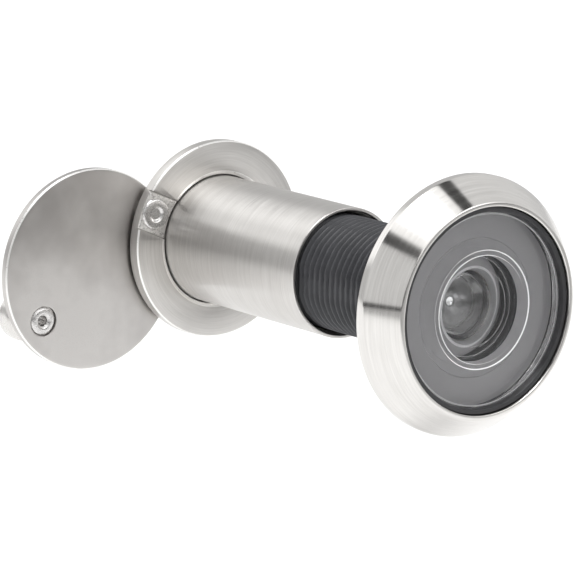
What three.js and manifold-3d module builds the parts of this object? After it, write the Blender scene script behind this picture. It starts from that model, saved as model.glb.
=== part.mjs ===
// Door viewer with a swinging cover, in millimetres.
//
// The optical axis is Y. The outdoor bezel faces -Y and the indoor flange and its cover are at +Y.
// The origin is where the optical axis meets the indoor face of the door, and +Z is up.
// The viewer is set for a door as thick as doorThickness, and its cover is swung open.

import * as THREE from 'three';
import { mergeVertices } from 'three/addons/utils/BufferGeometryUtils.js';
import Module from 'manifold-3d';

const wasm = await Module();
wasm.setup();

// Driving dimensions
const doorThickness = 47.5;
const sleeveRadius = 7.9; // slides into a 16 mm door hole
const sleeveReach = 25.75; // from the indoor door face to the sleeve's mouth
const threadRadius = 7; // crest of the barrel's M14 x 1 thread
const threadClearance = 0.15;
const barrelReach = 31.7; // from the outdoor door face to the barrel's inner end
const bezelRadius = 15.3;
const bezelHeight = 4.9;
const flangeRadius = 12.25;
const flangeThickness = 1.8;
const coverRadius = 12.4;
const coverThickness = 1.4;
const pivotRadius = 10.2; // from the optical axis to the cover's pivot
const pivotAngle = THREE.MathUtils.degToRad(156); // from +X towards +Z
const openAngle = THREE.MathUtils.degToRad(118.5); // the cover's swing from closed to open
const knobRadius = 3.1;
const knobHeight = 4.6;
const lipRadius = 12.1; // inside the bezel's front lip
const grooveInner = 13; // of the gasket's groove behind the bezel
const grooveOuter = 14.4;
const grooveDepth = 0.75;
const cupRadius = 12; // outside the barrel's head
const lensRadius = 11.55; // the front lens
const lensThickness = 2.4;
const sealInner = 8.2; // hole in the seal behind the front lens
const innerLensRadius = 5.5;
const ringWall = 0.6; // of the thin rings between the lenses
const innerLensOpening = 4.3; // rim of the inner lenses' curved faces
const barrelBore = 5.6;
const ledgeRadius = 4.6; // hole in the ledge between the inner lenses
const eyepieceRadius = 6.9;
const eyepieceOpening = 5.6; // rim of the eyepiece's curved face
const eyepieceFront = -2.6; // the eyepiece lens's seat in the sleeve
const eyepieceLand = -0.9; // the face its ring bears on
const flareEnd = 1.6; // rear end of the sleeve, in the flange's countersink
const rivetHead = 1.92;
const rivetShank = 1.1;
const counterboreDepth = 0.6; // for the rim of the knob's rivet

const touch = 0.02; // gap between pieces that rest on each other
const ringSegments = 48;
const smallSegments = 28;

// Places along the optical axis
const bezelBack = -doorThickness;
const bezelFront = bezelBack - bezelHeight;
const webFront = bezelBack - 0.6;
const lensFront = bezelFront + 1.1;
const lensBack = lensFront + lensThickness;
const pocketFloor = lensBack + 0.3;
const ledgeFront = pocketFloor + 4.1;
const ledgeBack = ledgeFront + 0.5;
const barrelEnd = bezelBack + barrelReach;
const sleeveMouth = -sleeveReach;
const coverFront = flangeThickness + 0.3;
const coverBack = coverFront + coverThickness;

// Places across it
const pivotX = pivotRadius * Math.cos(pivotAngle);
const pivotZ = pivotRadius * Math.sin(pivotAngle);
const coverDirection = pivotAngle + Math.PI - openAngle; // from the pivot to the cover's centre
const coverX = pivotX + pivotRadius * Math.cos(coverDirection);
const coverZ = pivotZ + pivotRadius * Math.sin(coverDirection);
const knobOffset = 9.05; // from the cover's centre, on the side away from the pivot

const pocketDepth = 0.35; // of the slot that hides the pivot rivet's head
const pocketWidth = 5;

// Materials
function satinNickel(color = 0xc9c5c0) {
	return new THREE.MeshStandardMaterial({ color, metalness: 1, roughness: 0.32 });
}

function blackPlastic(color = 0x26272a) {
	return new THREE.MeshStandardMaterial({ color, metalness: 0, roughness: 0.45 });
}

function clearGlass() {
	return new THREE.MeshStandardMaterial({ color: 0xdfe6e8, metalness: 0, roughness: 0.03 });
}

function aluminium() {
	return new THREE.MeshStandardMaterial({ color: 0xb4b5b7, metalness: 1, roughness: 0.4 });
}

function blackRubber() {
	return new THREE.MeshStandardMaterial({ color: 0x1a1a1b, metalness: 0, roughness: 0.85 });
}

function springSteel() {
	return new THREE.MeshStandardMaterial({ color: 0xa7a9ac, metalness: 1, roughness: 0.25 });
}

// A profile of [radius, y] points turned about Y. The points run counter-clockwise, with radius
// to the right and y up. They start and end on the axis, or the outline closes on itself.
function turned(profile, segments = ringSegments) {
	const points = profile.map(([radius, y]) => new THREE.Vector2(radius, y));
	const onAxis = profile[0][0] === 0;
	if (!onAxis) {
		points.push(points[0].clone());
	}
	return new THREE.LatheGeometry(points, segments);
}

// Points of an arc in a profile, without its two ends. The sag is how far the arc's middle stands
// from the flat chord, towards -y when it is negative, for an arc centred on the axis.
function domePoints(rimRadius, rimY, sag, steps, towardsAxis) {
	const sphere = (rimRadius * rimRadius + sag * sag) / (2 * Math.abs(sag));
	const side = Math.sign(sag);
	const points = [];
	for (let i = 1; i < steps; i++) {
		const radius = rimRadius * (towardsAxis ? 1 - i / steps : i / steps);
		const height = Math.sqrt(sphere * sphere - radius * radius) - (sphere - Math.abs(sag));
		points.push([radius, rimY + side * height]);
	}
	return points;
}

function solidOf(geometry) {
	const bare = geometry.clone();
	bare.deleteAttribute('normal');
	bare.deleteAttribute('uv');
	const merged = mergeVertices(bare, 1e-5);
	const vertProperties = new Float32Array(merged.attributes.position.array);
	const triVerts = new Uint32Array(merged.index.array);
	return new wasm.Manifold(new wasm.Mesh({ numProp: 3, vertProperties, triVerts }));
}

function geometryOf(solid) {
	const mesh = solid.getMesh();
	const geometry = new THREE.BufferGeometry();
	geometry.setAttribute('position', new THREE.BufferAttribute(mesh.vertProperties, 3));
	geometry.setIndex(new THREE.BufferAttribute(mesh.triVerts, 1));
	geometry.computeVertexNormals();
	return geometry;
}

function cut(geometry, tools) {
	return geometryOf(tools.reduce((solid, tool) => solid.subtract(solidOf(tool)), solidOf(geometry)));
}

// A straight drill along Y between two heights
function drill(radius, from, to, x = 0, z = 0) {
	const geometry = new THREE.CylinderGeometry(radius, radius, to - from, smallSegments);
	return geometry.translate(x, (from + to) / 2, z);
}

function piece(name, geometry, material) {
	const mesh = new THREE.Mesh(geometry, material);
	mesh.name = name;
	return mesh;
}

// Front unit

// Conical trim ring. Its web carries the barrel's head, and a groove in its back holds the gasket.
function frontBezel() {
	const bandFront = bezelBack - 1.1;
	const profile = [
		[lipRadius, bezelFront + 0.25],
		[lipRadius + 0.15, bezelFront + 0.04],
		[lipRadius + 0.35, bezelFront],
		[lipRadius + 0.6, bezelFront + 0.18],
		[bezelRadius - 0.12, bandFront - 0.15],
		[bezelRadius, bandFront],
		[bezelRadius, bezelBack - 0.15],
		[bezelRadius - 0.15, bezelBack],
		[grooveOuter, bezelBack],
		[grooveOuter, bezelBack - grooveDepth],
		[grooveInner, bezelBack - grooveDepth],
		[grooveInner, bezelBack],
		[threadRadius + 0.2, bezelBack],
		[threadRadius + 0.2, webFront],
		[lipRadius, webFront],
	];
	return piece('front_bezel', turned(profile), satinNickel());
}

// Threaded tube with a cup at its front for the big lens and a ledge between the inner lenses
function lensBarrel() {
	const profile = [
		[lensRadius + 0.05, lensFront],
		[cupRadius, lensFront],
		[cupRadius, webFront - touch],
		[threadRadius, webFront - touch],
		[threadRadius, barrelEnd - 0.3],
		[threadRadius - 0.3, barrelEnd],
		[barrelBore, barrelEnd],
		[barrelBore, ledgeBack],
		[ledgeRadius, ledgeBack],
		[ledgeRadius, ledgeFront],
		[barrelBore, ledgeFront],
		[barrelBore, pocketFloor],
		[lensRadius + 0.05, pocketFloor],
	];
	return piece('lens_barrel', turned(profile), blackPlastic());
}

// Wide negative lens: flat outside, a spherical hollow inside
function frontLens() {
	const hollowRim = 6.8;
	const profile = [
		[0, lensFront],
		[lensRadius - 0.2, lensFront],
		[lensRadius, lensFront + 0.2],
		[lensRadius, lensBack - touch],
		[hollowRim, lensBack - touch],
		...domePoints(hollowRim, lensBack - touch, -1.9, 5, true),
		[0, lensBack - touch - 1.9],
	];
	return piece('front_lens', turned(profile), clearGlass());
}

// Thin rubber ring between the big lens and the floor of its cup
function frontLensSeal() {
	const outer = lensRadius - 0.15;
	const inner = sealInner;
	const profile = [
		[inner, lensBack],
		[outer, lensBack],
		[outer, pocketFloor - touch],
		[inner, pocketFloor - touch],
	];
	return piece('front_lens_seal', turned(profile), blackRubber());
}

// Black ring pressed inside the bezel's lip, which traps the big lens
function frontLensRing() {
	const profile = [
		[lensRadius, bezelFront + 0.4],
		[cupRadius, bezelFront + 0.4],
		[cupRadius, lensFront - touch],
		[lensRadius - 0.25, lensFront - touch],
	];
	return piece('front_lens_ring', turned(profile), blackPlastic());
}

// Thin flanged tube between the front lens and the second one. Its flange lies inside the seal.
function firstSpacer() {
	const front = lensBack + touch;
	const flangeBack = pocketFloor - touch;
	const back = ledgeFront - 2.72;
	const inner = innerLensRadius - ringWall;
	const profile = [
		[inner, front],
		[sealInner - 0.1, front],
		[sealInner - 0.1, flangeBack],
		[innerLensRadius, flangeBack],
		[innerLensRadius, back],
		[inner, back],
	];
	return piece('first_spacer', turned(profile), aluminium());
}

function spacerRing(name, front, back, wall = ringWall) {
	const profile = [
		[innerLensRadius - wall, front],
		[innerLensRadius, front],
		[innerLensRadius, back],
		[innerLensRadius - wall, back],
	];
	return piece(name, turned(profile), blackPlastic());
}

function secondLens() {
	const front = ledgeFront - 2.7;
	const back = ledgeFront - touch;
	const profile = [
		[0, front],
		[innerLensRadius, front],
		[innerLensRadius, back],
		[innerLensOpening, back],
		...domePoints(innerLensOpening, back, -1.6, 5, true),
		[0, back - 1.6],
	];
	return piece('second_lens', turned(profile), clearGlass());
}

function thirdLens() {
	const front = ledgeBack + touch;
	const back = ledgeBack + 2.2;
	const profile = [
		[0, front + 0.9],
		...domePoints(innerLensOpening, front, 0.9, 5, false),
		[innerLensOpening, front],
		[innerLensRadius, front],
		[innerLensRadius, back],
		[0, back],
	];
	return piece('third_lens', turned(profile), clearGlass());
}

// Rubber ring in the groove behind the bezel, pressed on the outdoor face of the door
function bezelGasket() {
	const inner = grooveInner + 0.1;
	const outer = grooveOuter - 0.1;
	const floor = bezelBack - grooveDepth + 0.05;
	const pressed = bezelBack + 0.15;
	const profile = [
		[inner, floor],
		[outer, floor],
		[outer, pressed - 0.05],
		[outer - 0.3, pressed],
		[inner + 0.3, pressed],
		[inner, pressed - 0.05],
	];
	return piece('bezel_gasket', turned(profile), blackRubber());
}

// Rear unit

// Plain tube outside, threaded bore inside. Its rear end is flared into the flange's countersink
// and holds the eyepiece lens.
function rearSleeve() {
	const bore = threadRadius + threadClearance;
	const lead = sleeveRadius - 0.3;
	const eyepieceSeat = eyepieceRadius + 0.05;
	const shoulder = 6.2;
	const profile = [
		[lead, sleeveMouth],
		[sleeveRadius - 0.12, sleeveMouth],
		[sleeveRadius, sleeveMouth + 0.12],
		[sleeveRadius, 0.95],
		[sleeveRadius + 0.75, flareEnd],
		[eyepieceSeat, flareEnd],
		[eyepieceSeat, eyepieceFront],
		[shoulder, eyepieceFront],
		[shoulder, eyepieceFront - 0.4],
		[bore, eyepieceFront - 0.4],
		[bore, sleeveMouth + 1.2],
		[lead, sleeveMouth + 0.9],
	];
	return piece('rear_sleeve', turned(profile), satinNickel());
}

// Flat disc that bears on the indoor face of the door. A slot across its door side hides the head
// of the pivot rivet.
function rearFlange() {
	const back = flangeThickness;
	const bore = sleeveRadius + 0.2;
	const blank = turned([
		[bore + 0.4, 0],
		[flangeRadius - 0.3, 0],
		[flangeRadius, 0.3],
		[flangeRadius, back - 0.4],
		[flangeRadius - 0.4, back],
		[sleeveRadius + 1.05, back],
		[bore, 0.95],
		[bore, 0.4],
	]);
	const slot = new THREE.BoxGeometry(8, 2 * pocketDepth, pocketWidth);
	slot.rotateY(-pivotAngle);
	slot.translate(pivotX, 0, pivotZ);
	const hole = drill(rivetShank + 0.05, -1, back + 1, pivotX, pivotZ);
	return piece('rear_flange', cut(blank, [slot, hole]), satinNickel());
}

function eyepieceLens() {
	const front = eyepieceFront + touch;
	const sag = 1.4;
	const profile = [
		[0, front],
		[eyepieceRadius, front],
		[eyepieceRadius, eyepieceLand],
		[eyepieceOpening, eyepieceLand],
		...domePoints(eyepieceOpening, eyepieceLand, sag, 5, true),
		[0, eyepieceLand + sag],
	];
	return piece('eyepiece_lens', turned(profile), clearGlass());
}

// Ring that screws in behind the eyepiece lens, with two notches for a pin spanner
function eyepieceRing() {
	const front = eyepieceLand + touch;
	const back = flareEnd - 0.3;
	const inner = eyepieceOpening + 0.1;
	const blank = turned([
		[inner, front],
		[eyepieceRadius, front],
		[eyepieceRadius, back],
		[inner + 0.3, back],
		[inner, back - 0.4],
	]);
	const notches = new THREE.BoxGeometry(2 * eyepieceRadius + 1, 0.8, 1.2);
	notches.translate(0, back, 0);
	return piece('eyepiece_ring', cut(blank, [notches]), blackPlastic());
}

// Pieces turned about the pivot's own axis are placed there by the pivot group.

function pivotRivet() {
	const headBack = pocketDepth - touch;
	const tailFront = coverBack + 0.5;
	const profile = [
		[0, 0.28],
		[0.8, 0.28],
		[0.95, 0.1],
		[1.15, 0.05],
		[1.7, 0.07],
		[rivetHead, 0.2],
		[rivetHead, headBack],
		[rivetShank, headBack],
		[rivetShank, tailFront],
		[2 * rivetShank, tailFront],
		[2 * rivetShank, tailFront + 0.3],
		[1.75, tailFront + 0.75],
		[0.9, tailFront + 0.95],
		[0, tailFront + 1],
	];
	return piece('pivot_rivet', turned(profile, smallSegments), springSteel());
}

function washer(name, inner, outer, front, back, material) {
	const profile = [
		[inner, front],
		[outer, front],
		[outer, back],
		[inner, back],
	];
	return piece(name, turned(profile, smallSegments), material);
}

// Cover: a disc that swings about the pivot, with a finger knob riveted on its indoor side

function coverDisc(pivotInCover, knobInCover) {
	const blank = turned([
		[0, coverFront],
		[coverRadius - 0.2, coverFront],
		[coverRadius, coverFront + 0.2],
		[coverRadius, coverBack - 0.3],
		[coverRadius - 0.3, coverBack],
		[0, coverBack],
	]);
	const below = coverFront - 1;
	const above = coverBack + 1;
	const pivotHole = drill(rivetShank + 0.15, below, above, pivotInCover.x, pivotInCover.y);
	const rivetHole = drill(1, below, above, knobInCover.x, knobInCover.y);
	const counterbore = drill(1.85, below, coverFront + counterboreDepth, knobInCover.x, knobInCover.y);
	return piece('cover_disc', cut(blank, [pivotHole, rivetHole, counterbore]), satinNickel(0xbdb6b1));
}

function coverKnob() {
	const bore = 0.95;
	const front = coverBack + touch;
	const back = coverBack + knobHeight;
	const profile = [
		[0, back - 1.3],
		[bore, back - 1.3],
		[bore, front],
		[1.9, front],
		[1.75, front + 0.9],
		[2, front + 1.6],
		[knobRadius - 0.2, front + 2.2],
		[knobRadius, front + 2.5],
		[knobRadius, back - 0.7],
		[knobRadius - 0.4, back - 0.2],
		[1.6, back],
		[0, back],
	];
	return piece('cover_knob', turned(profile, smallSegments), satinNickel());
}

// Hollow-ended rivet: its rolled rim sits in the cover's counterbore, its shank inside the knob
function knobRivet() {
	const rim = coverFront + 0.06;
	const profile = [
		[0, rim + 1.4],
		[0.55, rim + 1.4],
		[0.55, rim + 0.2],
		[0.8, rim],
		[1.35, rim],
		[1.7, rim + 0.2],
		[1.7, coverFront + counterboreDepth - touch],
		[0.88, coverFront + counterboreDepth - touch],
		[0.88, coverBack + knobHeight - 1.5],
		[0, coverBack + knobHeight - 1.5],
	];
	return piece('knob_rivet', turned(profile, smallSegments), springSteel());
}

// Assembly

const frontUnit = new THREE.Group();
frontUnit.add(
	frontBezel(),
	lensBarrel(),
	frontLens(),
	frontLensSeal(),
	frontLensRing(),
	firstSpacer(),
	secondLens(),
	thirdLens(),
	spacerRing('baffle_tube', ledgeBack + 2.22, barrelEnd - 2),
	spacerRing('barrel_end_ring', barrelEnd - 1.98, barrelEnd - 0.4, 1.3),
	bezelGasket(),
);

const rearUnit = new THREE.Group();
rearUnit.add(rearSleeve(), rearFlange(), eyepieceLens(), eyepieceRing());

const pivot = new THREE.Group();
pivot.position.set(pivotX, 0, pivotZ);
pivot.add(
	pivotRivet(),
	washer('pivot_shim', 1.2, 2, flangeThickness + touch, coverFront - touch, springSteel()),
	washer('pivot_spring_washer', 1.2, 2.3, coverBack + 0.05, coverBack + 0.45, springSteel()),
);

const outward = new THREE.Vector2(Math.cos(coverDirection), Math.sin(coverDirection));
const pivotInCover = outward.clone().multiplyScalar(-pivotRadius);
const knobInCover = outward.clone().multiplyScalar(knobOffset);
const cover = new THREE.Group();
cover.position.set(coverX, 0, coverZ);
cover.add(coverDisc(pivotInCover, knobInCover));
const knob = new THREE.Group();
knob.position.set(knobInCover.x, 0, knobInCover.y);
knob.add(coverKnob(), knobRivet());
cover.add(knob);

const viewer = new THREE.Group();
viewer.add(frontUnit, rearUnit, pivot, cover);

export default viewer;
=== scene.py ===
"""Looks for the door viewer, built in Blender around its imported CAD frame.

Lengths are in metres. The optical axis is Y, the outdoor bezel faces -Y and +Z is up.
Outlines are lists of (radius, y, rounding) in millimetres, turned about Y.
"""

import math

import bmesh
import bpy
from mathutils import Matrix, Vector


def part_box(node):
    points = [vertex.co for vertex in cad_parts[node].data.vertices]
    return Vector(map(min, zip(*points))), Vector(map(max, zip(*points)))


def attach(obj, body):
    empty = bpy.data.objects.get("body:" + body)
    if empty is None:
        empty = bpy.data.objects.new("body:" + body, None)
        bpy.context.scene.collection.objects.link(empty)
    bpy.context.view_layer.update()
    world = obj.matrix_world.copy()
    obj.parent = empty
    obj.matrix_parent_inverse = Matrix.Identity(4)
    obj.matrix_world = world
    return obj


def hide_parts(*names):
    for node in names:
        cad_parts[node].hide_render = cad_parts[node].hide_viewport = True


MM = 0.001
SEGMENTS = 192
SMALL_SEGMENTS = 72
SHARP_ANGLE = 28  # degrees between faces, above which their edge stays sharp
PITCH = 1.0  # of the barrel's thread
THREAD_DEPTH = 0.5
ROWS_PER_PITCH = 14

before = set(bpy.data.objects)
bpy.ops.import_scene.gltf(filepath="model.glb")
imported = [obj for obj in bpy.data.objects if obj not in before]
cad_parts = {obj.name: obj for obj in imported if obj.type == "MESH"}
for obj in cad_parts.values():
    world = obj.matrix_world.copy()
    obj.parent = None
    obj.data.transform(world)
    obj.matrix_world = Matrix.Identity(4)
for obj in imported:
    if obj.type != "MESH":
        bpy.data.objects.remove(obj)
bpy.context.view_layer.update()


# ---------------------------------------------------------------- measures from the frame, in mm


def node_box(node):
    """Lowest and highest corner of a CAD node, in millimetres."""
    low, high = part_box(node)
    return low / MM, high / MM


def centre_of(node):
    low, high = node_box(node)
    return (low.x + high.x) / 2, (low.z + high.z) / 2


bezel_low, bezel_high = node_box("front_bezel")
bezel_radius = bezel_high.z
bezel_front, bezel_back = bezel_low.y, bezel_high.y
lens_low, lens_high = node_box("front_lens")
lens_radius = lens_high.z
lens_front, lens_back = lens_low.y, lens_high.y
barrel_high = node_box("lens_barrel")[1]
barrel_end = barrel_high.y
cup_radius = barrel_high.z
sleeve_low, sleeve_high = node_box("rear_sleeve")
sleeve_mouth, sleeve_end = sleeve_low.y, sleeve_high.y
flange_high = node_box("rear_flange")[1]
flange_radius = flange_high.z
flange_back = flange_high.y
cover_low, cover_high = node_box("cover_disc")
cover_front, cover_back = cover_low.y, cover_high.y
cover_radius = (cover_high.x - cover_low.x) / 2
knob_low, knob_high = node_box("cover_knob")
knob_back = knob_high.y
knob_radius = (knob_high.x - knob_low.x) / 2
thread_radius = 7.0
sleeve_radius = 7.9
bezel_bore = 12.1
groove_inner, groove_outer = 13.0, 14.4  # of the gasket's groove in the bezel's back
barrel_bore = 5.6
ledge_radius = 4.6  # inside the ledge between the second and the third lens
spacer_bore_radius = 4.9
inner_opening = 4.3  # rim of the hollow faces of the second and third lens
eyepiece_opening = 5.6  # rim of the eyepiece lens's domed face
sleeve_bore = 7.15
rivet_hole = 1.15  # through the flange
pivot = centre_of("pivot_rivet")
cover_centre = centre_of("cover_disc")
knob_centre = centre_of("cover_knob")


# ---------------------------------------------------------------- node helpers


def new_material(name):
    """A node material with its Principled shader, and the tree that holds both."""
    material = bpy.data.materials.new(name)
    material.use_nodes = True
    tree = material.node_tree
    return material, tree, tree.nodes["Principled BSDF"]


def link(tree, source, target):
    tree.links.new(source, target)


def maths(tree, operation, a, b=0.0, c=0.0):
    node = tree.nodes.new("ShaderNodeMath")
    node.operation = operation
    for socket, value in zip(node.inputs, (a, b, c)):
        if isinstance(value, bpy.types.NodeSocket):
            link(tree, value, socket)
        else:
            socket.default_value = value
    return node.outputs[0]


def remap(tree, value, low, high, start=0.0, end=1.0, smooth=False):
    """value from start..end to low..high, clamped."""
    node = tree.nodes.new("ShaderNodeMapRange")
    node.interpolation_type = "SMOOTHSTEP" if smooth else "LINEAR"
    link(tree, value, node.inputs["Value"])
    node.inputs["From Min"].default_value = start
    node.inputs["From Max"].default_value = end
    node.inputs["To Min"].default_value = low
    node.inputs["To Max"].default_value = high
    return node.outputs["Result"]


def noise(tree, vector, scale, detail=2.0, roughness=0.5, fourth=None):
    node = tree.nodes.new("ShaderNodeTexNoise")
    if vector is not None:
        link(tree, vector, node.inputs["Vector"])
    if fourth is not None:
        node.noise_dimensions = "4D"
        link(tree, fourth, node.inputs["W"])
    node.inputs["Scale"].default_value = scale
    node.inputs["Detail"].default_value = detail
    node.inputs["Roughness"].default_value = roughness
    return node.outputs[0]


def object_place(tree):
    """The point on the piece in its own coordinates, in millimetres, as a vector."""
    place = tree.nodes.new("ShaderNodeTexCoord")
    scaled = tree.nodes.new("ShaderNodeVectorMath")
    scaled.operation = "SCALE"
    link(tree, place.outputs["Object"], scaled.inputs[0])
    scaled.inputs["Scale"].default_value = 1 / MM
    return scaled.outputs[0]


def blend_colours(tree, factor, first, second):
    node = tree.nodes.new("ShaderNodeMix")
    node.data_type = "RGBA"
    link(tree, factor, node.inputs[0])
    for socket, colour in ((node.inputs[6], first), (node.inputs[7], second)):
        if isinstance(colour, bpy.types.NodeSocket):
            link(tree, colour, socket)
        else:
            socket.default_value = (*colour, 1)
    return node.outputs[2]


def add_bump(tree, shader, height, distance):
    node = tree.nodes.new("ShaderNodeBump")
    node.inputs["Distance"].default_value = distance
    node.inputs["Strength"].default_value = 1.0
    link(tree, height, node.inputs["Height"])
    link(tree, node.outputs[0], shader.inputs["Normal"])


def turning_lines(tree, fineness, length):
    """Fine scratches round the Y axis: fineness lines per mm, and length for how fast they change."""
    place = tree.nodes.new("ShaderNodeSeparateXYZ")
    link(tree, object_place(tree), place.inputs[0])
    x, y, z = place.outputs
    squares = maths(tree, "ADD", maths(tree, "MULTIPLY", x, x), maths(tree, "MULTIPLY", z, z))
    radius = maths(tree, "SQRT", squares)
    across = tree.nodes.new("ShaderNodeCombineXYZ")
    link(tree, maths(tree, "MULTIPLY", radius, fineness), across.inputs[0])
    link(tree, maths(tree, "MULTIPLY", y, fineness), across.inputs[1])
    safe = maths(tree, "MAXIMUM", radius, 0.01)
    link(tree, maths(tree, "MULTIPLY", maths(tree, "DIVIDE", x, safe), length), across.inputs[2])
    round_axis = maths(tree, "MULTIPLY", maths(tree, "DIVIDE", z, safe), length)
    return noise(tree, across.outputs[0], 1.0, 3.0, 0.65, round_axis)


# ---------------------------------------------------------------- materials


def satin_nickel(name, bright, dull, rough, spread=0.1, anisotropy=0.75):
    """Nickel plate with a turned satin finish: scratches round the axis, faint clouding and pits."""
    material, tree, shader = new_material(name)
    scratches = turning_lines(tree, 5.0, 1.6)
    clouds = noise(tree, object_place(tree), 0.16, 4.0, 0.6)
    pits = noise(tree, object_place(tree), 9.0, 2.0)
    tone = blend_colours(tree, remap(tree, scratches, 0, 1, 0.3, 0.7), dull, bright)
    clouded = blend_colours(tree, remap(tree, clouds, 0, 0.35, 0.35, 0.7), tone, dull)
    link(tree, clouded, shader.inputs["Base Color"])
    shader.inputs["Metallic"].default_value = 1.0
    shader.inputs["Anisotropic"].default_value = anisotropy
    shader.inputs["Anisotropic Rotation"].default_value = 0.25
    tangent = tree.nodes.new("ShaderNodeTangent")
    tangent.direction_type = "RADIAL"
    tangent.axis = "Y"
    link(tree, tangent.outputs[0], shader.inputs["Tangent"])
    scratched = remap(tree, scratches, 0, spread, 0.25, 0.75)
    clouded_rough = remap(tree, clouds, 0, 0.06, 0.3, 0.7)
    worn = maths(tree, "ADD", scratched, clouded_rough)
    link(tree, maths(tree, "ADD", worn, rough), shader.inputs["Roughness"])
    surface = maths(tree, "ADD", scratches, maths(tree, "MULTIPLY", pits, 0.15))
    add_bump(tree, shader, surface, 0.0012 * MM)
    return material


def blasted_nickel(name, bright, dull):
    """Nickel plate over a fine blasted face: an even satin with soft clouds and faint specks."""
    material, tree, shader = new_material(name)
    clouds = noise(tree, object_place(tree), 0.13, 3.0, 0.55)
    grain_marks = noise(tree, object_place(tree), 7.0, 3.0, 0.6)
    tone = blend_colours(tree, remap(tree, clouds, 0, 1, 0.38, 0.62), dull, bright)
    specks = remap(tree, grain_marks, 0, 0.35, 0.5, 0.75)
    link(tree, blend_colours(tree, specks, tone, dull), shader.inputs["Base Color"])
    shader.inputs["Metallic"].default_value = 1.0
    clouded = remap(tree, clouds, 0.29, 0.37, 0.3, 0.7)
    rougher = maths(tree, "ADD", clouded, remap(tree, grain_marks, 0, 0.06))
    link(tree, rougher, shader.inputs["Roughness"])
    add_bump(tree, shader, grain_marks, 0.0012 * MM)
    return material


def cast_nickel(name, colour):
    """Nickel plate over an as-cast floor: coarse grain with dark pits."""
    material, tree, shader = new_material(name)
    grain_marks = noise(tree, object_place(tree), 4.5, 3.0, 0.7)
    dark = tuple(0.3 * c for c in colour)
    pits = remap(tree, grain_marks, 0.7, 0, 0.35, 0.5)
    link(tree, blend_colours(tree, pits, colour, dark), shader.inputs["Base Color"])
    shader.inputs["Metallic"].default_value = 1.0
    link(tree, remap(tree, grain_marks, 0.3, 0.5), shader.inputs["Roughness"])
    add_bump(tree, shader, grain_marks, 0.03 * MM)
    return material


def painted_glint_edge(name):
    """A white, matt face with a fine grain: a painted highlight that stands in for the glints on glass
    bevels.
    """
    material, tree, shader = new_material(name)
    grain_marks = noise(tree, object_place(tree), 12.0, 2.0)
    white = blend_colours(tree, grain_marks, (1.0, 1.0, 1.0), (0.85, 0.86, 0.86))
    link(tree, white, shader.inputs["Base Color"])
    link(tree, remap(tree, grain_marks, 0.35, 0.55), shader.inputs["Roughness"])
    return material


def bright_steel(name, colour, rough=0.2, ripple=0.03, worn=0.5):
    """Rolled steel: cold-worked ripples and small dark marks, which worn makes stronger."""
    material, tree, shader = new_material(name)
    ripples = noise(tree, object_place(tree), 3.2, 4.0, 0.6)
    marks = noise(tree, object_place(tree), 7.0, 3.0, 0.7)
    dark = tuple(0.45 * c for c in colour)
    marked = blend_colours(tree, remap(tree, marks, 0, worn, 0.52, 0.72), colour, dark)
    link(tree, marked, shader.inputs["Base Color"])
    shader.inputs["Metallic"].default_value = 1.0
    link(tree, remap(tree, ripples, rough - 0.06, rough + 0.16, 0.3, 0.7), shader.inputs["Roughness"])
    add_bump(tree, shader, ripples, ripple * MM)
    return material


def fine_grained(name, dark, light, rough=0.38):
    """Moulded plastic or a matt coating: a fine grain, and faint flow marks from dark to light."""
    material, tree, shader = new_material(name)
    grain_marks = noise(tree, object_place(tree), 14.0, 3.0, 0.6)
    flow = noise(tree, object_place(tree), 0.5, 3.0, 0.55)
    tone = blend_colours(tree, remap(tree, flow, 0, 1, 0.3, 0.75), dark, light)
    link(tree, tone, shader.inputs["Base Color"])
    grain_rough = remap(tree, grain_marks, rough, rough + 0.12)
    rougher = maths(tree, "ADD", remap(tree, flow, 0, 0.1, 0.3, 0.7), grain_rough)
    link(tree, rougher, shader.inputs["Roughness"])
    add_bump(tree, shader, grain_marks, 0.006 * MM)
    return material


def rubber(name, dark, light):
    material, tree, shader = new_material(name)
    grain_marks = noise(tree, object_place(tree), 10.0, 4.0, 0.7)
    link(tree, blend_colours(tree, grain_marks, dark, light), shader.inputs["Base Color"])
    link(tree, remap(tree, grain_marks, 0.7, 0.95), shader.inputs["Roughness"])
    add_bump(tree, shader, grain_marks, 0.02 * MM)
    return material


def lens_glass(name, tint, index):
    """Polished glass with a trace of handling film."""
    material, tree, shader = new_material(name)
    film = noise(tree, object_place(tree), 0.7, 4.0, 0.6)
    shader.inputs["Base Color"].default_value = (*tint, 1)
    shader.inputs["Transmission Weight"].default_value = 1.0
    shader.inputs["IOR"].default_value = index
    link(tree, remap(tree, film, 0.0, 0.025, 0.45, 0.75), shader.inputs["Roughness"])
    return material


def paper_with_painted_shade(name, colour, front):
    """White paper with faint fibres. Towards -Y it turns grey: a painted shade, as if the paper lay in
    shadow there.
    """
    material, tree, shader = new_material(name)
    place = object_place(tree)
    fibres = noise(tree, place, 0.02, 4.0, 0.6)
    shade = tuple(0.985 * c for c in colour)
    paper = blend_colours(tree, fibres, colour, shade)
    split = tree.nodes.new("ShaderNodeSeparateXYZ")
    link(tree, place, split.inputs[0])
    # painted shade: the paper greys towards -Y
    fade = remap(tree, split.outputs[1], 1, 0, -290, -170, True)
    link(tree, blend_colours(tree, fade, paper, front), shader.inputs["Base Color"])
    shader.inputs["Roughness"].default_value = 0.9
    return material


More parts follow.
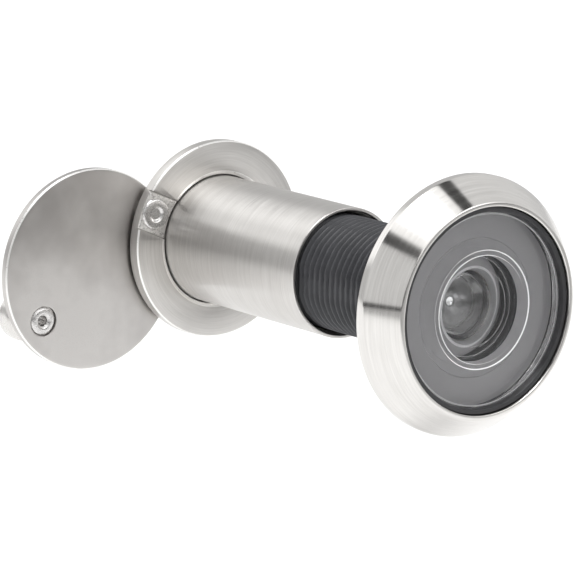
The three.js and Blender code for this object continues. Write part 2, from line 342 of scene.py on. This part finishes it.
NICKEL_LIGHT = (0.78, 0.765, 0.745)
NICKEL_DARK = (0.64, 0.625, 0.605)
COVER_LIGHT = (0.6, 0.583, 0.566)
COVER_DARK = (0.49, 0.473, 0.46)
REAR_LIGHT = (0.69, 0.675, 0.655)
REAR_DARK = (0.56, 0.545, 0.525)
# painted highlight: a paler nickel for edges, standing in for the glints they catch
PAINTED_EDGE_HIGHLIGHT = (0.9, 0.89, 0.87)
STEEL = (0.66, 0.65, 0.64)
CHARCOAL = (0.035, 0.036, 0.041)
CHARCOAL_LIGHT = (0.055, 0.056, 0.062)
RING_BLACK = (0.02, 0.02, 0.022)
RING_BLACK_LIGHT = (0.035, 0.035, 0.038)
# GREY is painted light: the seal is lightened to stand in for a reflection on the glass's back, and the
# spacer's flange for light through the glass
GREY = (0.4, 0.395, 0.405)
GREY_LIGHT = (0.46, 0.455, 0.465)
# PALE is painted light: the baffle and end ring are pale to stand in for light reaching in through the
# lenses
PALE = (0.8, 0.8, 0.805)
PALE_LIGHT = (0.9, 0.9, 0.905)
# WHITE is painted light: the spacer is pale to stand in for light reaching it through the glass
WHITE = (0.84, 0.84, 0.85)
WHITE_LIGHT = (0.92, 0.92, 0.93)
RUBBER_DARK = (0.012, 0.012, 0.013)
RUBBER_LIGHT = (0.03, 0.03, 0.03)

bezel_nickel = satin_nickel("bezel_nickel", NICKEL_LIGHT, NICKEL_DARK, 0.12, 0.05, 0.92)
sleeve_nickel = satin_nickel("sleeve_nickel", REAR_LIGHT, REAR_DARK, 0.26)
flange_nickel = satin_nickel("flange_nickel", REAR_LIGHT, REAR_DARK, 0.28)
cover_nickel = blasted_nickel("cover_nickel", COVER_LIGHT, COVER_DARK)
slot_nickel = cast_nickel("slot_nickel", NICKEL_LIGHT)
# painted highlight material for edges and a band in the spacer
painted_highlight_nickel = bright_steel("painted_highlight_nickel", PAINTED_EDGE_HIGHLIGHT, rough=0.3, ripple=0.001, worn=0.12)
knob_nickel = satin_nickel("knob_nickel", NICKEL_LIGHT, NICKEL_DARK, 0.2)
rivet_steel = bright_steel("rivet_steel", STEEL)
barrel_black = fine_grained("barrel_black", CHARCOAL, CHARCOAL_LIGHT)
ring_black = fine_grained("ring_black", RING_BLACK, RING_BLACK_LIGHT, rough=0.3)
# painted light: pale bore parts stand in for light inside the lenses
bore_pale_painted_light = fine_grained("bore_pale_painted_light", PALE, PALE_LIGHT, rough=0.22)
# the seal's grey is its own tone lightened by a painted reflection
seal_grey_with_painted_reflection = rubber("seal_grey_with_painted_reflection", GREY, GREY_LIGHT)
gasket_black = rubber("gasket_black", RUBBER_DARK, RUBBER_LIGHT)
big_glass = lens_glass("big_glass", (0.975, 0.975, 0.98), 1.52)
small_glass = lens_glass("small_glass", (0.985, 0.99, 0.99), 1.7)
painted_glint_glass = painted_glint_edge("painted_glint_glass")
# painted light: the spacer's pale lip and grey flange stand in for light through the glass
spacer_bore_painted_light = fine_grained("spacer_bore_painted_light", WHITE, WHITE_LIGHT, rough=0.3)
spacer_face_painted_light = fine_grained("spacer_face_painted_light", GREY, GREY_LIGHT, rough=0.5)


# ---------------------------------------------------------------- mesh helpers


def rounded(corners, closed=True, steps=5):
    """Outline points from corners (radius, y, rounding): each corner is rounded off over that length."""
    points = []
    count = len(corners)
    for i, (radius, y, size) in enumerate(corners):
        corner = Vector((radius, y))
        if size == 0 or (not closed and i in (0, count - 1)):
            points.append(corner)
            continue
        before = Vector(corners[i - 1][:2])
        after = Vector(corners[(i + 1) % count][:2])
        start = corner + (before - corner).normalized() * size
        end = corner + (after - corner).normalized() * size
        for k in range(steps + 1):
            t = k / steps
            points.append((1 - t) ** 2 * start + 2 * t * (1 - t) * corner + t * t * end)
    return points


def dome(rim_radius, rim_y, sag, steps, inward):
    """Outline points of a lens surface from its rim to the axis, or back, with both ends."""
    ball = (rim_radius**2 + sag**2) / (2 * abs(sag))
    points = []
    for i in range(steps + 1):
        share = 1 - i / steps if inward else i / steps
        radius = rim_radius * share
        height = math.sqrt(ball**2 - radius**2) - (ball - abs(sag))
        points.append((radius, rim_y + math.copysign(height, sag), 0))
    return points


def finish_mesh(mesh, sharp_angle):
    """Outward faces, smooth shading, and sharp edges where faces turn by more than the angle."""
    work = bmesh.new()
    work.from_mesh(mesh)
    bmesh.ops.recalc_face_normals(work, faces=work.faces)
    work.to_mesh(mesh)
    work.free()
    mesh.shade_smooth()
    mesh.set_sharp_from_angle(angle=math.radians(sharp_angle))


def turned(
    name, corners, material, closed=True, segments=SEGMENTS, centre=(0, 0), warp=None, sharp=SHARP_ANGLE
):
    """A piece turned about Y. warp(radius, y, angle) may move each point to another radius and y."""
    outline = rounded(corners, closed)
    count = len(outline)
    places, rings = [], []
    for radius, y in outline:
        if radius < 1e-6:
            rings.append([len(places)] * segments)
            places.append((0, y * MM, 0))
            continue
        rings.append(range(len(places), len(places) + segments))
        for s in range(segments):
            angle = 2 * math.pi * s / segments
            r, v = warp(radius, y, angle) if warp else (radius, y)
            places.append((r * math.cos(angle) * MM, v * MM, r * math.sin(angle) * MM))
    faces = []
    for i in range(count if closed else count - 1):
        a, b = rings[i], rings[(i + 1) % count]
        for s in range(segments):
            t = (s + 1) % segments
            corner_ids = dict.fromkeys((a[s], a[t], b[t], b[s]))
            faces.append(tuple(corner_ids))
    mesh = bpy.data.meshes.new(name)
    mesh.from_pydata(places, [], faces)
    finish_mesh(mesh, sharp)
    piece = bpy.data.objects.new(name, mesh)
    bpy.context.scene.collection.objects.link(piece)
    piece.location = (centre[0] * MM, 0, centre[1] * MM)
    piece.data.materials.append(material)
    return piece


def block(size, place, turn):
    """A plain box used as a cutter: size and place in mm, turned about Y."""
    mesh = bpy.data.meshes.new("cutter")
    work = bmesh.new()
    bmesh.ops.create_cube(work, size=1)
    work.to_mesh(mesh)
    work.free()
    cutter = bpy.data.objects.new("cutter", mesh)
    bpy.context.scene.collection.objects.link(cutter)
    cutter.scale = Vector(size) * MM
    cutter.location = Vector(place) * MM
    cutter.rotation_euler = (0, turn, 0)
    return cutter


def drill(radius, low, high, place):
    """A plain cylinder along Y used as a cutter."""
    corners = [(0, low, 0), (radius, low, 0), (radius, high, 0), (0, high, 0)]
    return turned("cutter", corners, rivet_steel, False, SMALL_SEGMENTS, place)


def cut(piece, cutters, edge=0.05, angle=40):
    """Takes the cutters out of a piece, then rounds its sharp edges by the edge width in mm."""
    for cutter in cutters:
        take = piece.modifiers.new("take", "BOOLEAN")
        take.operation = "DIFFERENCE"
        take.solver = "EXACT"
        take.object = cutter
    soften = piece.modifiers.new("soften", "BEVEL")
    soften.width = edge * MM
    soften.segments = 2
    soften.limit_method = "ANGLE"
    soften.angle_limit = math.radians(angle)
    bpy.context.view_layer.update()
    graph = bpy.context.evaluated_depsgraph_get()
    result = bpy.data.meshes.new_from_object(piece.evaluated_get(graph))
    piece.modifiers.clear()
    old = piece.data
    piece.data = result
    bpy.data.meshes.remove(old)
    finish_mesh(piece.data, SHARP_ANGLE)
    for cutter in cutters:
        bpy.data.objects.remove(cutter)
    return piece


def retouch(piece, material, chosen):
    """Another material for the faces whose middle passes a test of radius, y and normal, in mm."""
    piece.data.materials.append(material)
    index = len(piece.data.materials) - 1
    for face in piece.data.polygons:
        middle = face.center / MM
        if chosen(math.hypot(middle.x, middle.z), middle.y, face.normal):
            face.material_index = index


def place_on(piece, body, node):
    """The piece rides on a body and stands for a CAD node, which it hides."""
    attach(piece, body)
    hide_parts(node)
    return piece


# ---------------------------------------------------------------- front unit


def make_bezel():
    """Conical ring with a straight band at its back, a groove for the gasket and a hole for the barrel."""
    band = 1.1
    barrel_hole = 7.2
    groove_floor = bezel_back - 0.75
    back_wall = bezel_back - 0.6
    corners = [
        (bezel_bore, bezel_front + 0.3, 0),
        (bezel_bore, bezel_front, 0.16),
        (12.62, bezel_front, 0.2),
        (bezel_radius, bezel_back - band, 0.18),
        (bezel_radius, bezel_back, 0.14),
        (groove_outer, bezel_back, 0.06),
        (groove_outer, groove_floor, 0.1),
        (groove_inner, groove_floor, 0.1),
        (groove_inner, bezel_back, 0.06),
        (barrel_hole, bezel_back, 0.06),
        (barrel_hole, back_wall, 0.06),
        (bezel_bore, back_wall, 0.06),
    ]
    return place_on(turned("bezel", corners, bezel_nickel), "front_unit", "front_bezel")


def thread_dip(phase):
    """How deep a 60 degree thread is at a phase from 0 to 1, as a share of its depth. The crest is at 0."""
    away = abs((phase + 0.5) % 1.0 - 0.5)
    return min(1.0, max(0.0, (away - 0.07) / 0.3))


def barrel_warp(start, end):
    """Cuts the helical thread between two heights, and the two flats along the mould's parting line."""

    def warp(radius, y, angle):
        if radius < thread_radius - 0.01 or y < start or y > end:
            return radius, y
        fade = min(1.0, (y - start) / 0.8, (end - y) / 0.5)
        dip = thread_dip(y / PITCH - angle / (2 * math.pi))
        thread = radius - THREAD_DEPTH * fade * dip
        flat = (thread_radius - 0.2) / max(abs(math.cos(angle)), 0.1)
        return min(thread, flat), y

    return warp


def make_barrel():
    start, end = bezel_back + 0.1, barrel_end - 0.3
    rows = int((end - start) / PITCH * ROWS_PER_PITCH)
    head_back = bezel_back - 0.62
    floor = lens_back + 0.32
    ledge = floor + 4.1
    thread = [(thread_radius, start + (end - start) * i / rows, 0) for i in range(rows + 1)]
    corners = [
        (lens_radius + 0.05, lens_front, 0),
        (cup_radius, lens_front, 0.05),
        (cup_radius, head_back, 0.05),
        (thread_radius, head_back, 0),
        *thread,
        (thread_radius - 0.3, barrel_end, 0),
        (barrel_bore, barrel_end, 0),
        (barrel_bore, ledge + 0.5, 0),
        (ledge_radius, ledge + 0.5, 0),
        (ledge_radius, ledge, 0),
        (barrel_bore, ledge, 0),
        (barrel_bore, floor, 0),
        (lens_radius + 0.05, floor, 0),
    ]
    piece = turned("barrel", corners, barrel_black, segments=160, warp=barrel_warp(start, end), sharp=50)
    return place_on(piece, "front_unit", "lens_barrel")


def make_front_lens():
    """Flat outside, with slopes at a shallow groove and at the outer edge painted white as highlights, and
    hollow inside.
    """
    rim = 6.2
    step = lens_front + 0.1
    outer_edge = lens_front + 0.14
    corners = [
        (0, lens_front, 0),
        (6.28, lens_front, 0),
        (6.36, step, 0),
        (6.85, step, 0),
        (6.97, lens_front, 0),
        (11.06, lens_front, 0),
        (11.27, outer_edge, 0),
        (lens_radius, outer_edge, 0),
        (lens_radius, lens_back, 0.1),
        *dome(rim, lens_back, -2.1, 28, True),
    ]
    piece = turned("big_lens", corners, big_glass, closed=False)

    def painted_glint_faces(radius, y, normal):
        return lens_front < y < outer_edge and abs(normal.y) < 0.95 and radius < 11.3

    # painted highlight: the slopes of the groove and of the edge are white
    retouch(piece, painted_glint_glass, painted_glint_faces)
    return place_on(piece, "front_unit", "front_lens")


def make_lens_ring():
    low, high = node_box("front_lens_ring")
    corners = [
        (11.5, low.y, 0.08),
        (high.z, low.y, 0.05),
        (high.z, high.y, 0.03),
        (11.3, high.y, 0.03),
    ]
    piece = turned("lens_ring", corners, ring_black)
    return place_on(piece, "front_unit", "front_lens_ring")


def make_ring(name, node, wall, material, body="front_unit"):
    """A plain ring as long as its CAD node, with a wall in mm."""
    low, high = node_box(node)
    edge = 0.3 * min(wall, high.y - low.y)
    corners = [
        (high.z - wall, low.y, edge),
        (high.z, low.y, edge),
        (high.z, high.y, edge),
        (high.z - wall, high.y, edge),
    ]
    return place_on(turned(name, corners, material), body, node)


def make_first_spacer():
    """Flanged tube between the first two lenses. Its grey flange and pale lip are painted light, standing
    in for light reaching in through the glass, and the band inside is a painted highlight.
    """
    low, high = node_box("first_spacer")
    flange_end = low.y + 0.24
    band_start = high.y - 0.4
    lip_radius = 5.2
    tube_radius = 5.5
    corners = [
        (spacer_bore_radius, low.y, 0.03),
        (lip_radius, low.y, 0),
        (high.z, low.y, 0.03),
        (high.z, flange_end, 0.03),
        (tube_radius, flange_end, 0.03),
        (tube_radius, high.y, 0.03),
        (spacer_bore_radius, high.y, 0),
        (spacer_bore_radius, band_start, 0),
    ]
    piece = turned("spacer_ring", corners, spacer_bore_painted_light)

    def band(radius, y, normal):
        return radius < spacer_bore_radius + 0.02 and y > band_start

    def face(radius, y, normal):
        return normal.y < -0.9 and radius > lip_radius

    # painted highlight: a bright band at the back of the bore
    retouch(piece, painted_highlight_nickel, band)
    retouch(piece, spacer_face_painted_light, face)
    return place_on(piece, "front_unit", "first_spacer")


def make_second_lens():
    low, high = node_box("second_lens")
    corners = [
        (0, low.y, 0),
        (high.z, low.y, 0.1),
        (high.z, high.y, 0.1),
        *dome(inner_opening, high.y, -1.25, 24, True),
    ]
    piece = turned("second_lens_glass", corners, small_glass, closed=False)
    return place_on(piece, "front_unit", "second_lens")


def make_third_lens():
    low, high = node_box("third_lens")
    corners = [
        *dome(inner_opening, low.y, 0.9, 24, False),
        (high.z, low.y, 0.1),
        (high.z, high.y, 0.1),
        (0, high.y, 0),
    ]
    piece = turned("third_lens_glass", corners, small_glass, closed=False)
    return place_on(piece, "front_unit", "third_lens")


def make_gasket():
    low, high = node_box("bezel_gasket")
    corners = [
        (groove_inner + 0.1, low.y, 0.1),
        (groove_outer - 0.1, low.y, 0.1),
        (groove_outer - 0.1, high.y, 0.25),
        (groove_inner + 0.1, high.y, 0.25),
    ]
    return place_on(turned("gasket_ring", corners, gasket_black), "gasket", "bezel_gasket")


# ---------------------------------------------------------------- rear unit


def make_sleeve():
    seat = -2.6
    corners = [
        (7.55, sleeve_mouth, 0.04),
        (sleeve_radius, sleeve_mouth, 0.14),
        (sleeve_radius, 0.95, 0.05),
        (8.65, sleeve_end, 0.05),
        (6.95, sleeve_end, 0.08),
        (6.95, seat, 0.03),
        (6.2, seat, 0.05),
        (6.2, seat - 0.4, 0.05),
        (sleeve_bore, seat - 0.4, 0.05),
        (sleeve_bore, sleeve_mouth + 1.2, 0.05),
        (7.55, sleeve_mouth + 0.9, 0.05),
    ]
    return place_on(turned("sleeve", corners, sleeve_nickel), "rear_unit", "rear_sleeve")


def make_flange():
    bore = sleeve_radius + 0.2
    corners = [
        (bore + 0.45, 0, 0),
        (flange_radius - 0.16, 0, 0),
        (flange_radius, 0.16, 0),
        (flange_radius, flange_back, 0.4),
        (8.95, flange_back, 0.05),
        (bore, 0.95, 0.05),
        (bore, 0.2, 0),
    ]
    blank = turned("flange", corners, flange_nickel)
    slot_length, slot_width, slot_depth = 8, 5, 0.35
    line_width, line_depth = 0.14, 0.65  # of the deeper line along each side of the slot
    reach = math.hypot(*pivot)
    turn = -math.atan2(pivot[1], pivot[0])
    cutters = [
        block((slot_length, 2 * slot_depth, slot_width), (pivot[0], 0, pivot[1]), turn),
        drill(rivet_hole, -1, flange_back + 1, pivot),
    ]
    for side in (-1, 1):
        shift = side * (slot_width - line_width) / 2
        place = (pivot[0] - shift * pivot[1] / reach, 0, pivot[1] + shift * pivot[0] / reach)
        cutters.append(block((slot_length, 2 * line_depth, line_width), place, turn))
    piece = cut(blank, cutters, 0.03)

    def edge(radius, y, normal):
        return 0 < y < 0.21 and (radius < bore + 0.45 or radius > flange_radius - 0.16)

    def slot_floor(radius, y, normal):
        return 0.3 < y < slot_depth + 0.03 and normal.y < -0.9

    # painted highlight on the flange's rim and bore edges
    retouch(piece, painted_highlight_nickel, edge)
    retouch(piece, slot_nickel, slot_floor)
    return place_on(piece, "rear_unit", "rear_flange")


def make_eyepiece_lens():
    low, high = node_box("eyepiece_lens")
    land = high.y - 1.4
    corners = [
        (0, low.y, 0),
        (high.z, low.y, 0.1),
        (high.z, land, 0.1),
        *dome(eyepiece_opening, land, 1.4, 24, True),
    ]
    piece = turned("eyepiece_glass", corners, small_glass, closed=False)
    return place_on(piece, "rear_unit", "eyepiece_lens")


def make_eyepiece_ring():
    low, high = node_box("eyepiece_ring")
    outer = high.z
    corners = [
        (5.7, low.y, 0.05),
        (outer, low.y, 0.05),
        (outer, high.y, 0.08),
        (6.0, high.y, 0.1),
        (5.7, high.y - 0.4, 0.1),
    ]
    blank = turned("eyepiece_nut", corners, ring_black)
    notches = block((2 * outer + 1, 0.8, 1.2), (0, high.y, 0), 0)
    return place_on(cut(blank, [notches]), "rear_unit", "eyepiece_ring")


def make_pivot_rivet():
    low, high = node_box("pivot_rivet")
    head = low.y
    tail = high.y - 1
    corners = [
        (0, head + 0.24, 0),
        (0.7, head + 0.25, 0.1),
        (0.98, head + 0.02, 0.12),
        (1.25, head, 0.1),
        (1.75, head + 0.03, 0.1),
        (1.92, head + 0.2, 0.08),
        (1.92, head + 0.28, 0.02),
        (1.1, head + 0.28, 0.03),
        (1.1, tail, 0.03),
        (2.2, tail, 0.05),
        (2.2, tail + 0.3, 0.15),
        (1.75, tail + 0.8, 0.3),
        (0.9, high.y, 0.3),
        (0, high.y, 0),
    ]
    piece = turned("pivot_rivet_formed", corners, rivet_steel, False, SMALL_SEGMENTS, pivot)
    return place_on(piece, "rear_unit", "pivot_rivet")


def make_washer(name, node, wave, inset=0.0):
    """A washer on the pivot, inset from its CAD node's radius. wave bends it three times round."""
    low, high = node_box(node)
    outer = (high.x - low.x) / 2 - inset

    def bend(radius, y, angle):
        return radius, y + wave * math.sin(3 * angle)

    corners = [
        (1.2, low.y + wave, 0.03),
        (outer, low.y + wave, 0.03),
        (outer, high.y - wave, 0.03),
        (1.2, high.y - wave, 0.03),
    ]
    piece = turned(name, corners, rivet_steel, True, SMALL_SEGMENTS, pivot, bend)
    return place_on(piece, "rear_unit", node)


# ---------------------------------------------------------------- cover


def make_cover():
    crown = 0.22
    corners = [
        *dome(cover_radius - 0.16, cover_front + crown, -crown, 40, False),
        (cover_radius, cover_front + crown + 0.16, 0),
        (cover_radius, cover_back, 0.3),
        (0, cover_back, 0),
    ]
    blank = turned("cover", corners, cover_nickel, closed=False, centre=cover_centre)
    cutters = [
        drill(1.25, cover_front - 1, cover_back + 1, pivot),
        drill(1.0, cover_front - 1, cover_back + 1, knob_centre),
        drill(1.85, cover_front - 1, cover_front + 0.6, knob_centre),
    ]
    piece = cut(blank, cutters)

    def edge(radius, y, normal):
        return radius > cover_radius - 0.17 and y < cover_front + crown + 0.17

    # painted highlight on the cover's rim
    retouch(piece, painted_highlight_nickel, edge)
    return place_on(piece, "cover", "cover_disc")


def make_knob():
    front = knob_low.y
    corners = [
        (0, knob_back - 1.3, 0),
        (0.95, knob_back - 1.3, 0.05),
        (0.95, front, 0.05),
        (1.9, front, 0.08),
        (1.7, front + 0.9, 0.4),
        (2.0, front + 1.7, 0.3),
        (knob_radius, front + 2.3, 0.25),
        (knob_radius, knob_back - 0.5, 0.45),
        (1.8, knob_back, 0.5),
        (0, knob_back, 0),
    ]
    piece = turned("knob", corners, knob_nickel, False, SMALL_SEGMENTS, knob_centre)
    return place_on(piece, "cover", "cover_knob")


def make_knob_rivet():
    low, high = node_box("knob_rivet")
    rim = low.y
    corners = [
        (0, rim + 1.4, 0),
        (0.55, rim + 1.4, 0.1),
        (0.62, rim + 0.22, 0.1),
        (0.95, rim, 0.12),
        (1.4, rim + 0.02, 0.12),
        (1.7, rim + 0.24, 0.08),
        (1.7, rim + 0.5, 0.03),
        (0.88, rim + 0.5, 0.03),
        (0.88, high.y, 0.05),
        (0, high.y, 0),
    ]
    piece = turned("knob_rivet_formed", corners, rivet_steel, False, SMALL_SEGMENTS, knob_centre)
    return place_on(piece, "cover", "knob_rivet")


make_bezel()
make_barrel()
make_front_lens()
make_lens_ring()
# seal: grey, lightened as a painted reflection seen through the glass
make_ring("lens_seal", "front_lens_seal", 3.27, seal_grey_with_painted_reflection)
make_first_spacer()
make_second_lens()
make_third_lens()
# the baffle and end ring are painted pale, a stand-in for light inside the lenses
make_ring("baffle", "baffle_tube", 0.6, bore_pale_painted_light)
make_ring("end_ring", "barrel_end_ring", 1.3, bore_pale_painted_light)
make_gasket()
make_sleeve()
make_flange()
make_eyepiece_lens()
make_eyepiece_ring()
make_pivot_rivet()
make_washer("shim", "pivot_shim", 0.0, 0.45)
make_washer("wave_washer", "pivot_spring_washer", 0.08)
make_cover()
make_knob()
make_knob_rivet()


# ---------------------------------------------------------------- stage, light and camera


def make_floor():
    mesh = bpy.data.meshes.new("floor")
    reach = 4.0
    height = -0.062
    corners = [(x * reach, y * reach, height) for x, y in ((-1, -1), (1, -1), (1, 1), (-1, 1))]
    mesh.from_pydata(corners, [], [(0, 1, 2, 3)])
    floor = bpy.data.objects.new("floor", mesh)
    bpy.context.scene.collection.objects.link(floor)
    # the second, grey colour is the painted shade on the paper towards -Y
    mesh.materials.append(paper_with_painted_shade("paper_with_painted_shade", (0.9, 0.9, 0.9), (0.34, 0.34, 0.34)))


def strip(tree, value, start, end, soft, strength):
    """A band of light where value lies between start and end, with soft edges."""
    rise = remap(tree, value, 0, strength, start - soft, start + soft, True)
    fall = remap(tree, value, 1, 0, end - soft, end + soft, True)
    return maths(tree, "MULTIPLY", rise, fall)


def make_world():
    """Studio: strip lights along Y, given in degrees round it, and a dark room behind the camera.

    A softer pair of lights takes over from the strips indoors, towards +Y. One softbox hangs over the
    camera.
    """
    world = bpy.data.worlds.new("studio")
    bpy.context.scene.world = world
    world.use_nodes = True
    tree = world.node_tree
    split = tree.nodes.new("ShaderNodeSeparateXYZ")
    link(tree, tree.nodes.new("ShaderNodeTexCoord").outputs["Generated"], split.inputs[0])
    x, y, z = split.outputs
    turn = maths(tree, "ARCTAN2", z, x)
    angle = maths(tree, "MULTIPLY", turn, 180 / math.pi)
    right = strip(tree, angle, -30, 65, 1.0, 0.8)
    top = strip(tree, angle, 75, 123, 1.0, 1.3)
    left = strip(tree, angle, 133, 177.5, 1.0, 0.72)
    before = maths(tree, "ADD", maths(tree, "ADD", right, top), left)
    behind = maths(tree, "ADD", strip(tree, angle, 94, 146, 9, 0.75), 0.58)
    share = remap(tree, y, 0, 1, 0.3, 0.6, True)
    kept = maths(tree, "MULTIPLY", before, maths(tree, "SUBTRACT", 1.0, share))
    strips = maths(tree, "MULTIPLY_ADD", behind, share, kept)
    front = remap(tree, y, 0.85, 0, -0.75, -0.45, True)
    dark = maths(tree, "MULTIPLY", front, remap(tree, z, 1, 0, 0.1, 0.28, True))
    room = maths(tree, "SUBTRACT", 1.0, dark)
    height = strip(tree, z, 0.36, 0.72, 0.06, 2.2)
    ahead = remap(tree, y, 1, 0, -0.7, -0.5, True)
    beside = remap(tree, x, 0, 1, 0.0, 0.3, True)
    over_camera = maths(tree, "MULTIPLY", height, maths(tree, "MULTIPLY", ahead, beside))
    total = maths(tree, "ADD", maths(tree, "MULTIPLY_ADD", strips, room, over_camera), 0.06)
    background = tree.nodes["Background"]
    link(tree, total, background.inputs["Strength"])
    background.inputs["Color"].default_value = (1.0, 1.0, 1.0, 1)


def make_panel(name, place, target, size, power):
    data = bpy.data.lights.new(name, "AREA")
    data.shape = "RECTANGLE"
    data.size, data.size_y = size
    data.energy = power
    panel = bpy.data.objects.new(name, data)
    bpy.context.scene.collection.objects.link(panel)
    panel.location = place
    panel.rotation_mode = "QUATERNION"
    panel.rotation_quaternion = (Vector(target) - Vector(place)).to_track_quat("-Z", "Y")


def make_camera():
    azimuth, elevation = math.radians(-36.75), math.radians(12.05)
    target = Vector((0.00606, -0.00611, -0.00594))
    distance = 0.5265
    back = Vector((
        math.sin(azimuth) * math.cos(elevation),
        -math.cos(azimuth) * math.cos(elevation),
        math.sin(elevation),
    ))
    data = bpy.data.cameras.new("camera")
    data.sensor_width = 36
    data.lens = 266.5
    camera = bpy.data.objects.new("camera", data)
    bpy.context.scene.collection.objects.link(camera)
    camera.location = target + back * distance
    camera.rotation_mode = "QUATERNION"
    camera.rotation_quaternion = (-back).to_track_quat("-Z", "Y")
    bpy.context.scene.camera = camera


make_floor()
make_world()
make_panel("top_panel", (-0.5, -0.35, 3.2), (0, 0, 0), (1.0, 1.6), 52)
make_camera()
bpy.context.scene.view_settings.view_transform = "Standard"
